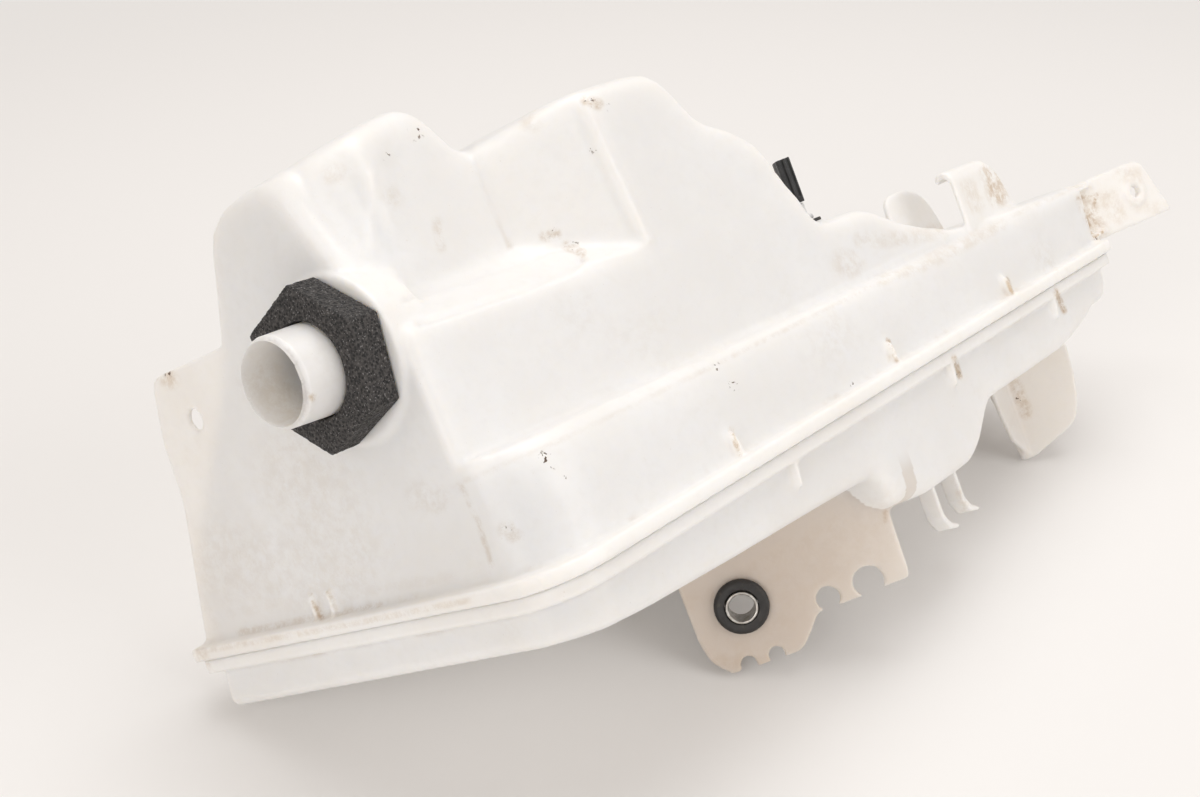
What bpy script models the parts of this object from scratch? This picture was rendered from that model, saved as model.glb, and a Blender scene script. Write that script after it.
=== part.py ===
"""Washer fluid reservoir: two moulded half shells welded at a flange, with its filler neck,
foam collar, fixing ears, rubber bushing and level sensor.

The tank is drawn in its own frame in millimetres: the filler neck's axis meets the end face
at the origin, +X runs along the tank, +Y to its back and +Z to its domes. One empty turns the
whole tank into the pose in which it lies on a flat surface. Run with Blender 4.5.
"""
import math
import bpy
import bmesh
from mathutils import Matrix, Vector

MM = 0.001

# Overall sizes, mm
tank_length = 417.0
wall = 2.8
weld_level = -93.6           # at the end face; the seam rises along the tank
weld_rise = 0.0245
weld_gap = 0.3
front_at_weld = -57.0        # front wall at the end face, at the weld
front_run_at_weld = -0.126   # how far it moves for each mm along the tank
crease_level = -47.0
crease_front = -35.0
crease_run = -0.184
back_at_weld = 142.5
back_run = -0.306
back_shoulder_level = -58.0
back_top = 50.0              # back wall at the height of the neck
back_top_run = -0.20
end_round = 4.0              # rounding of the two end faces

# Welding flange
flange_thickness = 6.0
lower_flange_thickness = 6.0
flange_lip = 7.0
lower_flange_lip = 4.6
flange_corner = 7.0
front_corner = 24.0          # the corner between the end face and the long front

# Filler neck and its seat
neck_length = 32.0
neck_outer_r = 16.0
neck_foot_r = 16.8
neck_bore_r = 13.4
bore_overrun = 5.0           # how far the bore's cutter runs past the neck and into the tank
seat_r = 30.5
seat_front = -1.7
seat_depth = 18.0

# Foam collar: a hexagonal block
foam_thickness = 14.0
foam_across_corners = 60.0
foam_turn = 40.0
foam_clearance = 0.3

# End ear: a flat web in the plane of the end face
ear_thickness = 3.2
ear_hole_r = 4.45
ear_hole_y = 94.7
ear_top = 21.5
ear_outer_top = 112.0
ear_outer_bottom = 147.0

# Lower ear, rubber bushing and steel sleeve
lower_ear_thickness = 3.4
lower_ear_x, lower_ear_y = 149.0, -10.0
lower_ear_turn = -55.2       # direction of the plate in plan, degrees
bushing_level = -156.0
bushing_r = 12.0
bushing_waist_r = 8.6
bushing_thickness = 11.0
sleeve_outer_r = 7.0
sleeve_bore_r = 5.7
sleeve_length = 13.0
fit_gap = 0.3

# Far ear
far_ear_thickness = 3.4
far_ear_reach = 47.0         # from the far end face to the middle of its hole
far_ear_turn = -26.6
far_ear_inset = 12.1         # its plane meets the end face this far behind the front wall
far_ear_level = -60.5
far_ear_hole_r = 3.3
far_ear_ring_r = 7.6

# Small moulded details
rib_thickness = 2.2
rib_height = 10.5
rib_depth = 3.4
fin_back = 44.0              # from the far end face
fin_y = -55.0
fin_thickness = 3.2
tab_thickness = 3.0
hook_thickness = 2.6

# Level sensor
sensor_x, sensor_y = 252.5, -43.1
sensor_pad_level = -14.0
sensor_pad_r = 11.0
stem_r = 3.4
stem_bottom = -126.0
stem_collar_r = 5.6
stem_collar_height = 2.4
seal_hole_r = 5.6
seal_flange_r = 8.5
seal_flange = 1.6
plug_width, plug_depth, plug_height = 6.4, 14.0, 21.5
plug_turn = -51.3
plug_base = -3.0
float_r = 12.0
float_height = 20.0
float_gap = 0.7
stop_r = 6.5
stop_height = 3.0

# Pump port in the far end of the lower shell
port_inset = 29.0            # from the back wall
port_level = -101.5
port_hole_r = 6.0
port_flange_r = 8.4
port_bore_r = 3.8
port_flange = 1.6

# Pose on the flat surface, degrees
rest_turn_x = -33.0
rest_turn_y = 9.74


def knots(points, x, smooth=0.0):
    """Height of a broken line at x, averaged over a short stretch so that it runs softly."""
    def at(q):
        if q <= points[0][0]:
            return points[0][1]
        for (x0, y0), (x1, y1) in zip(points, points[1:]):
            if q <= x1:
                return y0 + (y1 - y0) * (q - x0) / (x1 - x0)
        return points[-1][1]
    if smooth <= 0.0:
        return at(x)
    return sum(at(x + smooth * k / 3.0) for k in range(-3, 4)) / 7.0


# Top of the shell along the tank: left dome, saddle, middle dome, steps, tray
top_profile = [(0, 66), (10, 69), (43, 78), (58, 80.5), (66, 76), (76, 60), (84, 58.5), (108, 65.5),
               (150, 67.5), (158, 61), (166, 44), (195, 31), (201, 15), (212, -14.5), (246, -14.5),
               (270, -28), (300, -39), (340, -42.5), (412, -43.5)]
# Front of the domes in plan: chamfered corner, left dome, diagonal wall
ridge_x = 116.0
dome_front = [(0, -21), (26, -22), (78, -20), (ridge_x, -56)]
dome_top_front = [(0, 4), (26, -19), (43, -16), (80, -17), (107, -52.5)]
shelf_rise = [(0, 12), (40, 14), (80, 17), (ridge_x, 1.5)]

# Bottom edge of the lower shell along the tank, with the deeper sump
sump_x = sensor_x - 32.5     # the sump lies under the sensor
bottom_profile = [(0, -113.5), (17, -116.3), (57, -119.2), (118, -119.8), (sump_x - 40, -121.5),
                  (sump_x - 37, -136), (sump_x - 26, -138.5), (sump_x - 8, -141), (sump_x + 29, -140.5),
                  (sump_x + 39, -136), (sump_x + 52, -125), (sump_x + 60, -120), (tank_length - 58, -118),
                  (tank_length - 45, -115.7), (tank_length - 23, -110.5), (tank_length - 18, -107),
                  (tank_length - 4, -106.3)]
back_bottom_level = -117.5
back_bottom = 147.0
back_bottom_run = -0.315
sump_back = 8.0


def weld_z(x):
    return weld_level + weld_rise * x


def crease_y(x):
    return crease_front + crease_run * x


def front_y(x):
    """The upright front above the crease, always a little behind it."""
    return crease_y(x) + max(0.4, 1.5 - 0.006 * x)


def weld_front_y(x):
    """The front wall at the seam, drawn back over the rounded corner with the end face."""
    reach = max(0.0, 1.0 - x / front_corner)
    return front_at_weld + front_run_at_weld * x + 16.0 * reach ** 2


def weld_back_y(x):
    return back_at_weld + back_run * x


def top_level(x, inset):
    """Top of the shell, kept inset below the outer skin also where the skin is steep."""
    reach = (-inset, 0.0, inset)
    return min(knots(top_profile, x + d, 4.0) for d in reach) - inset


def back_y(x, z):
    """The back wall: upright at the weld, leaning in to the domes."""
    line = [(weld_z(x), weld_back_y(x)), (back_shoulder_level, weld_back_y(x) - 3.0),
            (22.0, back_top + 8.0 + back_top_run * x), (82.0, back_top - 12.0 + back_top_run * x)]
    return knots(line, z, 9.0)


def soft_corner(before, corner, after, reach_in, reach_out, steps):
    """Points of a conic that rounds a corner between two straight edges."""
    p, q, r = Vector(before), Vector(corner), Vector(after)
    a = q + (p - q).normalized() * min(reach_in, (p - q).length * 0.46)
    b = q + (r - q).normalized() * min(reach_out, (r - q).length * 0.46)
    weight = 0.75
    points = []
    for k in range(steps + 1):
        t = k / steps
        m0, m1, m2 = (1 - t) ** 2, 2 * t * (1 - t) * weight, t * t
        points.append((a * m0 + q * m1 + b * m2) / (m0 + m1 + m2))
    return [tuple(v) for v in points]


def upper_section(x, inset, end_inset=0.0):
    """One slice of the upper half in the YZ plane, from the weld up the front and down the back."""
    w = inset + end_inset
    top = top_level(x, inset) - end_inset
    foot = (weld_front_y(x) + w, weld_z(x))
    shoulder = (min(weld_front_y(x) + 1.0, crease_y(x) - 0.9) + w, crease_level - w + 1.2)
    crease = (crease_y(x) + w, crease_level - w)
    if inset > 0.0:
        dome = max(knots(dome_front, x + d, 3.0) for d in (-inset, 0.0, inset))
        dome_top = max(knots(dome_top_front, x + d, 3.0) for d in (-inset, 0.0, inset))
    else:
        dome, dome_top = knots(dome_front, x, 3.0), knots(dome_top_front, x, 3.0)
    edge = front_y(x)
    on_shelf = x < ridge_x + w
    shelf = max(min(0.0 - w, top - 5.0), crease_level - w + 0.9)
    rise = knots(shelf_rise, x, 3.0)
    if on_shelf:
        inner = max(dome, edge + 0.4) + w
        lift = rise - w
        tip = max(dome_top, inner - w + 0.6) + w
    else:
        inner = edge + 0.4 + w
        lift = shelf + 0.6
        tip = edge + 1.8 + w
    lift = min(max(lift, shelf + 0.5), top - 0.8)
    points = [foot]
    points += soft_corner(foot, shoulder, crease, 30.0, 20.0, 5)
    points += soft_corner(shoulder, crease, (edge + w, shelf), 1.6, 1.6, 1)
    points += soft_corner(crease, (edge + w, shelf), (inner, lift), 2.6, 2.6, 2)
    points += soft_corner((edge + w, shelf), (inner, lift), (tip, top), 3.5, 3.5, 2)
    rim = back_y(x, top) - w
    rim = max(rim, tip + 6.0)
    points += soft_corner((inner, lift), (tip, top), (rim, top), 7.0, 7.0, 3)
    turn = knots([(0, 26), (34, 22), (60, 14), (412, 14)], x)
    drop = min(turn, (top - weld_z(x)) * 0.4)
    low = (max(back_y(x, top - drop) - w, tip + 6.5), top - drop)
    points += soft_corner((tip, top), (rim, top), low, turn, drop * 0.95, 3)
    for k in range(1, 6):
        z = (top - drop) + (weld_z(x) - (top - drop)) * k / 5.0
        points.append((back_y(x, z) - w, z))
    return points


def lower_section(x, inset, end_inset=0.0):
    """One slice of the lower half, from the weld down the front, along the floor and up the back."""
    w = inset + end_inset
    deep = max(knots(bottom_profile, x + d, 2.0) for d in (-inset, 0.0, inset)) + w
    front = weld_front_y(x) + w
    back_low = back_bottom + back_bottom_run * x - w
    sump = knots([(sump_x - 40, 0), (sump_x - 32, 1), (sump_x + 42, 1), (sump_x + 60, 0)], x)
    turn_y = (front + back_low) * 0.5 * (1 - sump) + (sump_back - w) * sump
    level = back_bottom_level + w
    turn_z = (deep + (level - deep) * 0.5) * (1 - sump) + (deep + 1.0) * sump
    foot = (front, weld_z(x))
    toe = (front + 2.0, deep)
    turn = (turn_y, turn_z)
    heel = (back_low, level)
    head = (weld_back_y(x) - w, weld_z(x))
    points = [foot]
    points += soft_corner(foot, toe, turn, 7.0, 7.0, 3)
    points += soft_corner(toe, turn, heel, 10.0, 10.0, 2)
    points += soft_corner(turn, heel, head, 3.0, 3.0, 2)
    points.append(head)
    return points


def new_object(name, mesh, collection):
    obj = bpy.data.objects.new(name, mesh)
    collection.objects.link(obj)
    return obj


def mesh_from(name, bm, collection):
    bmesh.ops.recalc_face_normals(bm, faces=bm.faces)
    mesh = bpy.data.meshes.new(name)
    bm.to_mesh(mesh)
    bm.free()
    return new_object(name, mesh, collection)


def loft(name, stations, collection):
    """A closed body through unlike slices: stations are (x, [(y, z), ...]) of equal count."""
    bm = bmesh.new()
    rings = [[bm.verts.new(Vector((x, y, z)) * MM) for y, z in ring] for x, ring in stations]
    for a, b in zip(rings, rings[1:]):
        n = len(a)
        for k in range(n):
            bm.faces.new((a[k], a[(k + 1) % n], b[(k + 1) % n], b[k]))
    bm.faces.new(rings[0])
    bm.faces.new(rings[-1])
    return mesh_from(name, bm, collection)


def stations(xs, section, inset, level_shift, start, end):
    """Slices along the tank with both ends rounded; the weld plane moves by level_shift."""
    rows = []
    for x in xs:
        if x < start or x > end:
            continue
        near = max(0.0, end_round - (x - start))
        far = max(0.0, end_round - (end - x))
        depth = max(near, far)
        shrink = end_round - math.sqrt(max(0.0, end_round ** 2 - depth ** 2))
        ring = section(x, inset, shrink * 0.9)
        ring[0] = (ring[0][0], ring[0][1] + level_shift)
        ring[-1] = (ring[-1][0], ring[-1][1] + level_shift)
        rows.append((x, ring))
    return rows


def outline(name, points, thickness, collection):
    """A flat plate: a filled 2D curve in its own XY plane, made a mesh with welded caps."""
    curve = bpy.data.curves.new(name, 'CURVE')
    curve.dimensions = '2D'
    curve.fill_mode = 'BOTH'
    curve.extrude = thickness * 0.5 * MM
    spline = curve.splines.new('POLY')
    spline.points.add(len(points) - 1)
    for p, (x, y) in zip(spline.points, points):
        p.co = (x * MM, y * MM, 0.0, 1.0)
    spline.use_cyclic_u = True
    source = bpy.data.objects.new(name, curve)
    collection.objects.link(source)
    depsgraph = bpy.context.evaluated_depsgraph_get()
    mesh = bpy.data.meshes.new_from_object(source.evaluated_get(depsgraph))
    mesh.name = name
    collection.objects.unlink(source)
    bpy.data.objects.remove(source)
    bpy.data.curves.remove(curve)
    bm = bmesh.new()
    bm.from_mesh(mesh)
    bmesh.ops.remove_doubles(bm, verts=bm.verts, dist=0.00002)
    bmesh.ops.dissolve_limit(bm, angle_limit=math.radians(0.5), verts=bm.verts, edges=bm.edges)
    bmesh.ops.recalc_face_normals(bm, faces=bm.faces)
    bm.to_mesh(mesh)
    bm.free()
    mesh.materials.clear()
    obj = new_object(name, mesh, collection)
    return obj


def rounded(points, radius, steps=3):
    """The same outline with its corners rounded."""
    result = []
    n = len(points)
    for k in range(n):
        r = radius[k] if isinstance(radius, (list, tuple)) else radius
        if r <= 0.0:
            result.append(points[k])
        else:
            result += soft_corner(points[k - 1], points[k], points[(k + 1) % n], r, r, steps)
    return result


def box(name, low, high, collection):
    bm = bmesh.new()
    bmesh.ops.create_cube(bm, size=1.0)
    size = [(b - a) * MM for a, b in zip(low, high)]
    middle = [(a + b) * 0.5 * MM for a, b in zip(low, high)]
    bmesh.ops.scale(bm, vec=size, verts=bm.verts)
    bmesh.ops.translate(bm, vec=middle, verts=bm.verts)
    return mesh_from(name, bm, collection)


def cylinder(name, radius, low, high, collection, sides=32):
    """A straight cylinder along its own Z, from low to high."""
    bm = bmesh.new()
    bmesh.ops.create_cone(bm, cap_ends=True, segments=sides, radius1=radius * MM,
                          radius2=radius * MM, depth=(high - low) * MM)
    bmesh.ops.translate(bm, vec=(0, 0, (low + high) * 0.5 * MM), verts=bm.verts)
    return mesh_from(name, bm, collection)


def turned(name, profile, collection, steps=32):
    """A turned ring: profile of (radius, z), its outer side running top to bottom."""
    mesh = bpy.data.meshes.new(name)
    verts = [(r * MM, 0.0, z * MM) for r, z in profile]
    n = len(verts)
    closed = profile[0][0] > 0.0 or profile[-1][0] > 0.0
    mesh.from_pydata(verts, [(k, (k + 1) % n) for k in range(n if closed else n - 1)], [])
    obj = new_object(name, mesh, collection)
    screw = obj.modifiers.new('turn', 'SCREW')
    screw.steps = steps
    screw.render_steps = steps
    screw.use_merge_vertices = True
    screw.merge_threshold = 0.00001
    screw.use_normal_calculate = False
    return obj


def combine(target, tool, operation):
    mod = target.modifiers.new(operation.lower() + '_' + tool.name, 'BOOLEAN')
    mod.operation = operation
    mod.object = tool
    mod.solver = 'EXACT'


def place(obj, matrix):
    obj.matrix_basis = matrix
    return obj


def at(x, y, z):
    return Matrix.Translation(Vector((x, y, z)) * MM)


def plate_frame(x, y, z, turn):
    """Own X along the plate in plan, own Y up, own Z out to the front left."""
    a = math.radians(turn)
    along = Vector((math.cos(a), math.sin(a), 0))
    up = Vector((0, 0, 1))
    out = along.cross(up)
    m = Matrix((along, up, out)).transposed().to_4x4()
    m.translation = Vector((x, y, z)) * MM
    return m


END_PLANE = Matrix(((0, 0, 1, 0), (1, 0, 0, 0), (0, 1, 0, 0), (0, 0, 0, 1)))   # own XY is tank YZ
ALONG_X = Matrix(((0, 0, 1, 0), (0, 1, 0, 0), (-1, 0, 0, 0), (0, 0, 0, 1)))    # own Z is tank +X


def material(name, colour, roughness, metallic=0.0):
    mat = bpy.data.materials.new(name)
    mat.use_nodes = True
    node = mat.node_tree.nodes['Principled BSDF']
    node.inputs['Base Color'].default_value = (*colour, 1.0)
    node.inputs['Roughness'].default_value = roughness
    node.inputs['Metallic'].default_value = metallic
    mat.diffuse_color = (*colour, 1.0)
    return mat


def paint(obj, mat, angle=35.0):
    obj.data.materials.clear()
    obj.data.materials.append(mat)
    obj.data.shade_smooth()
    obj.data.set_sharp_from_angle(angle=math.radians(angle))


for old in list(bpy.data.objects):
    bpy.data.objects.remove(old, do_unlink=True)

parts = bpy.data.collections.new('washer_fluid_reservoir')
tools = bpy.data.collections.new('cutters')
bpy.context.scene.collection.children.link(parts)
bpy.context.scene.collection.children.link(tools)

milky = material('milky_plastic', (0.86, 0.86, 0.83), 0.42)
foam_black = material('foam', (0.018, 0.018, 0.02), 0.95)
rubber_black = material('rubber', (0.02, 0.02, 0.022), 0.55)
steel = material('steel', (0.66, 0.65, 0.62), 0.35, 1.0)
black_plastic = material('black_plastic', (0.015, 0.015, 0.016), 0.4)
grey_plastic = material('grey_plastic', (0.62, 0.63, 0.64), 0.45)
float_foam = material('float', (0.75, 0.72, 0.62), 0.7)

half_gap = weld_gap * 0.5
seam_cover = 2.5   # the shells' walls start inside the flange plates
end_steps = (0.0, 0.6, 1.8, end_round)
body_xs = [10, 17, 26, 34, 43, 54, 60, 66, 71, 76, 81, 87, 98, 107, 111, 116, 121, 138, 150, 156, 161, 166,
           172, 184, 195, 200, 205, 211, 217, 228, 242, 250, 259, 268, 284, 302, 330, 370]
sump_xs = [sump_x + d for d in (-43, -40, -37, -34, -29, -18, -8, 15, 29, 35, 40, 46, 52, 58, 64)]
far_xs = [tank_length - d for d in (58, 45, 30, 23, 18, 13)]
floor_xs = [9, 14, 20, 26, 40, 90, 140] + sump_xs + [sump_x + 90] + far_xs



def slices(xs, start, end):
    """Slice positions from end to end, close together where the two ends are rounded."""
    middle = [x for x in sorted(xs) if start + end_round + 1.0 < x < end - end_round - 1.0]
    return [start + d for d in end_steps] + middle + [end - d for d in reversed(end_steps)]


def flange_outline(lip):
    """The plan of the welding flange: the wall's four corners moved out by the lip."""
    straight = front_at_weld + front_run_at_weld * tank_length
    corners = [(-lip, front_at_weld - lip), (tank_length + lip, straight - lip),
               (tank_length + lip, weld_back_y(tank_length) + lip), (-lip, weld_back_y(0) + lip)]
    return rounded(corners, [front_corner, flange_corner, flange_corner, 3.0], 5)


def on_seam(height):
    """Level of a flange plate's middle above the seam, tilted with it."""
    return at(0, 0, weld_level + height) @ Matrix.Rotation(-math.atan(weld_rise), 4, 'Y')


# Upper half shell
upper = loft('upper_shell', stations(slices(body_xs, 0.0, tank_length), upper_section, 0.0, seam_cover,
                                     0.0, tank_length), parts)
upper_flange = outline('upper_flange', flange_outline(flange_lip), flange_thickness, tools)
place(upper_flange, on_seam(half_gap + flange_thickness * 0.5))
combine(upper, upper_flange, 'UNION')

seat = cylinder('neck_seat', seat_r, seat_front, seat_depth, tools, 40)
combine(upper, place(seat, ALONG_X), 'UNION')

neck_root = wall + 1.0
neck_points = [(0.0, neck_root), (neck_foot_r, neck_root), (neck_foot_r, seat_front - foam_thickness),
               (neck_outer_r, 3.5 - neck_length), (neck_bore_r + 0.9, -neck_length), (0.0, -neck_length)]
neck = turned('neck', neck_points, tools, 40)
combine(upper, place(neck, ALONG_X), 'UNION')

ear_points = [(52.0, ear_top), (ear_outer_top, ear_top), (121.0, -2.4), (123.4, -28.0),
              (131.5, -48.4), (139.9, -69.5), (ear_outer_bottom, weld_level + flange_thickness - 1.0),
              (60.0, weld_level + flange_thickness - 1.0), (40.0, -20.0)]
ear = outline('end_ear', rounded(ear_points, [0, 5, 6, 6, 6, 6, 0, 0, 0]), ear_thickness, tools)
combine(upper, place(ear, END_PLANE @ at(0, 0, ear_thickness * 0.5 + 0.15)), 'UNION')

# Far ear with its raised ring and two gussets
far_slope = math.tan(math.radians(far_ear_turn))
root_y = weld_front_y(tank_length) + far_ear_inset
far_frame = plate_frame(tank_length + far_ear_reach, root_y + far_slope * far_ear_reach, far_ear_level,
                        far_ear_turn)
root = -(far_ear_reach + 3.0) / math.cos(math.radians(far_ear_turn))
far_points = [(root, 15.6), (6.5, 16.0), (11.5, 13.6), (22.6, -17.2), (root, -17.5)]
far_plate = outline('far_ear', rounded(far_points, [0, 2, 3, 2, 0]), far_ear_thickness, tools)
combine(upper, place(far_plate, far_frame), 'UNION')
far_ring = cylinder('far_ring', far_ear_ring_r, -1.0, far_ear_thickness * 0.5 + 1.1, tools, 28)
combine(upper, place(far_ring, far_frame), 'UNION')
for index, level in enumerate((far_ear_level + 12.5, far_ear_level - 13.5)):
    reach = 24.0
    web = [(tank_length - 3.0, root_y + 22.0), (tank_length - 3.0, crease_y(tank_length) + 2.0),
           (tank_length + reach, root_y + far_slope * reach - 1.2),
           (tank_length + reach, root_y + far_slope * reach)]
    gusset = outline('gusset_%d' % index, web, 2.2, tools)
    combine(upper, place(gusset, at(0, 0, level)), 'UNION')

# Step over the flange at the far end, and ribs between the flange and the walls
far_seam = weld_z(tank_length)
step = box('far_step', (tank_length - 8.0, weld_front_y(tank_length) + 2.5, far_seam + 3.4),
           (tank_length + 5.0, weld_back_y(tank_length) - 7.0, far_seam + 10.0), tools)
combine(upper, step, 'UNION')
for index, x in enumerate((101.0, 212.0, 317.0)):
    foot = weld_z(x) + flange_thickness
    rib = box('rib_up_%d' % index, (x - rib_thickness * 0.5, weld_front_y(x) - rib_depth, foot - 1),
              (x + rib_thickness * 0.5, weld_front_y(x) + 9.0, foot + rib_height), tools)
    combine(upper, rib, 'UNION')
foot = weld_level + flange_thickness
for index, y in enumerate((54.3, 65.5)):
    rib = box('rib_end_%d' % index, (-rib_depth + 0.6, y - rib_thickness * 0.5, foot - 1),
              (2.0, y + rib_thickness * 0.5, foot + rib_height), tools)
    combine(upper, rib, 'UNION')

# Upright tab and curled hook that hold hoses on the tray
tab_x, tab_y = tank_length - 93.0, -62.0
tab_points = [(-27.0, -17.0), (-27.0, 12.0), (-22.0, 16.0), (-6.0, 17.0), (8.0, 14.0), (19.0, 7.0),
              (27.5, -13.0), (27.5, -17.0)]
tab = outline('hose_tab', rounded(tab_points, [0, 4, 4, 8, 8, 8, 0, 0]), tab_thickness, tools)
combine(upper, place(tab, plate_frame(tab_x, tab_y, -31.0, 0.0)), 'UNION')
hook_x, hook_y, hook_width = tank_length - 73.5, -91.5, 68.0
hook_half = hook_thickness * 0.5
hook_points = [(-hook_half, -52.0), (hook_half, -52.0), (hook_half, -19.5), (2.6, -17.0), (5.0, -16.2),
               (6.2, -18.5), (8.6, -17.8), (7.2, -14.0), (3.6, -13.3), (0.4, -14.6), (-hook_half, -18.5)]
hook = outline('hose_hook', hook_points, hook_width, tools)
place(hook, at(hook_x, hook_y, 0) @ END_PLANE)
hook_side = [(-31.5, -60.0), (-31.5, -2.0), (3.0, -2.0), (8.5, -13.0), (18.5, -19.0), (25.5, -28.0),
             (32.0, -46.0), (32.0, -60.0)]
hook_trim = outline('hook_trim', rounded(hook_side, [0, 0, 0, 8, 8, 8, 0, 0]), 60.0, tools)
combine(hook, place(hook_trim, plate_frame(hook_x, hook_y, 0.0, 0.0)), 'INTERSECT')
combine(upper, hook, 'UNION')

# Pad and hole for the level sensor
pad = cylinder('sensor_pad', sensor_pad_r, -46.0, sensor_pad_level, tools, 32)
combine(upper, place(pad, at(sensor_x, sensor_y, 0)), 'UNION')

inner_end = tank_length - wall
upper_inside = loft('upper_inside', stations(slices(body_xs, wall, inner_end), upper_section, wall, -10.0,
                                             wall, inner_end), tools)
combine(upper, upper_inside, 'DIFFERENCE')
neck_bore = cylinder('neck_bore', neck_bore_r, -neck_length - bore_overrun, wall + bore_overrun, tools, 40)
half_step = Matrix.Rotation(math.radians(4.5), 4, 'Z')
combine(upper, place(neck_bore, ALONG_X @ half_step), 'DIFFERENCE')
ear_hole = cylinder('ear_hole', ear_hole_r, -5.0, 10.0, tools, 28)
combine(upper, place(ear_hole, at(0, ear_hole_y, 0) @ ALONG_X), 'DIFFERENCE')
far_hole = cylinder('far_hole', far_ear_hole_r, -8.0, 8.0, tools, 24)
combine(upper, place(far_hole, far_frame), 'DIFFERENCE')
sensor_hole = cylinder('sensor_hole', seal_hole_r, -60.0, 0.0, tools, 32)
combine(upper, place(sensor_hole, at(sensor_x, sensor_y, 0)), 'DIFFERENCE')
paint(upper, milky)

# Lower half shell
lower = loft('lower_shell', stations(slices(floor_xs, 0.0, tank_length), lower_section, 0.0, -seam_cover,
                                     0.0, tank_length), parts)
lower_flange = outline('lower_flange', flange_outline(lower_flange_lip), lower_flange_thickness, tools)
place(lower_flange, on_seam(-half_gap - lower_flange_thickness * 0.5))
combine(lower, lower_flange, 'UNION')

ear_frame = plate_frame(lower_ear_x, lower_ear_y, 0.0, lower_ear_turn)
lower_points = [(-23.3, -112.0), (-22.8, -167.0), (-20.6, -176.0), (-13.7, -183.4), (17.5, -183.4),
                (21.5, -180.0), (30.0, -170.0), (72.0, -169.6), (73.2, -138.0), (71.0, -112.0)]
lower_corners = rounded(lower_points, [0, 3, 3, 1.5, 2, 2, 2, 2, 0, 0])
lower_ear = outline('lower_ear', lower_corners, lower_ear_thickness, tools)
combine(lower, place(lower_ear, ear_frame), 'UNION')
notches = ((-5.8, -181.5, 3.6), (6.9, -181.5, 3.6), (35.8, -165.8, 5.2), (54.2, -164.6, 6.6))
for index, (s, z, r) in enumerate(notches):
    notch = cylinder('clip_notch_%d' % index, r, -8.0, 8.0, tools, 24)
    combine(lower, place(notch, ear_frame @ at(s, z, 0)), 'DIFFERENCE')
bushing_hole = cylinder('bushing_hole', bushing_waist_r + fit_gap, -8.0, 8.0, tools, 32)
combine(lower, place(bushing_hole, ear_frame @ at(0, bushing_level, 0)), 'DIFFERENCE')

# Fin under the far end: a rounded plate and a narrower web that close in a V
fin_x = tank_length - fin_back
fin_frame = plate_frame(fin_x, fin_y, 0.0, lower_ear_turn)
fin_points = [(-4.5, -172.6), (2.5, -172.6), (13.0, -168.2), (24.0, -164.3), (29.1, -160.3), (33.0, -151.6),
              (35.6, -138.3), (37.0, -118.0), (37.4, -104.0), (-12.0, -110.0), (-8.0, -146.0)]
fin = outline('fin', rounded(fin_points, [1, 1, 4, 5, 5, 5, 5, 0, 0, 0, 5]), fin_thickness, tools)
combine(lower, place(fin, fin_frame), 'UNION')
web_points = [(10.0, -110.0), (-21.0, -110.0), (-18.0, -143.0), (-14.4, -158.0), (-2.5, -170.4),
              (3.0, -167.0), (10.0, -137.0)]
web = outline('fin_web', web_points, 2.4, tools)
combine(lower, place(web, plate_frame(fin_x, fin_y, 0.0, 0.0)), 'UNION')

# Two small hooks under the sump
for index, (x, y) in enumerate(((sump_x + 12.0, -66.0), (sump_x + 36.0, -66.0))):
    curl = [(0.0, -136.0), (2.4, -136.0), (2.4, -157.0), (6.0, -162.0), (12.0, -165.0), (12.6, -167.0),
            (4.5, -164.8), (0.0, -158.0)]
    small = outline('sump_hook_%d' % index, curl, 9.0, tools)
    combine(lower, place(small, plate_frame(x, y, 0.0, 0.0)), 'UNION')

for index, x in enumerate((127.0, 249.0, 352.0)):
    foot = weld_z(x) - lower_flange_thickness
    rib = box('rib_low_%d' % index, (x - rib_thickness * 0.5, weld_front_y(x) - rib_depth, foot - rib_height),
              (x + rib_thickness * 0.5, weld_front_y(x) + 6.0, foot + 1), tools)
    combine(lower, rib, 'UNION')

lower_inside = loft('lower_inside', stations(slices(floor_xs, wall, inner_end), lower_section, wall, 10.0,
                                             wall, inner_end), tools)
combine(lower, lower_inside, 'DIFFERENCE')
port_y = weld_back_y(tank_length) - port_inset
port_hole = cylinder('port_hole', port_hole_r, -20.0, 10.0, tools, 28)
combine(lower, place(port_hole, at(tank_length, port_y, port_level) @ ALONG_X), 'DIFFERENCE')
paint(lower, milky)

# Foam collar
foam_points = []
for k in range(6):
    a = math.radians(foam_turn + 60.0 * k)
    foam_points.append((foam_across_corners * 0.5 * math.cos(a), foam_across_corners * 0.5 * math.sin(a)))
foam = outline('foam_collar', foam_points, foam_thickness - 2 * foam_clearance, parts)
place(foam, at(seat_front - foam_thickness * 0.5, 0, 0) @ END_PLANE)
foam_bore = cylinder('foam_bore', neck_foot_r + foam_clearance, -40.0, 20.0, tools, 40)
combine(foam, place(foam_bore, ALONG_X), 'DIFFERENCE')
paint(foam, foam_black)

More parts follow.
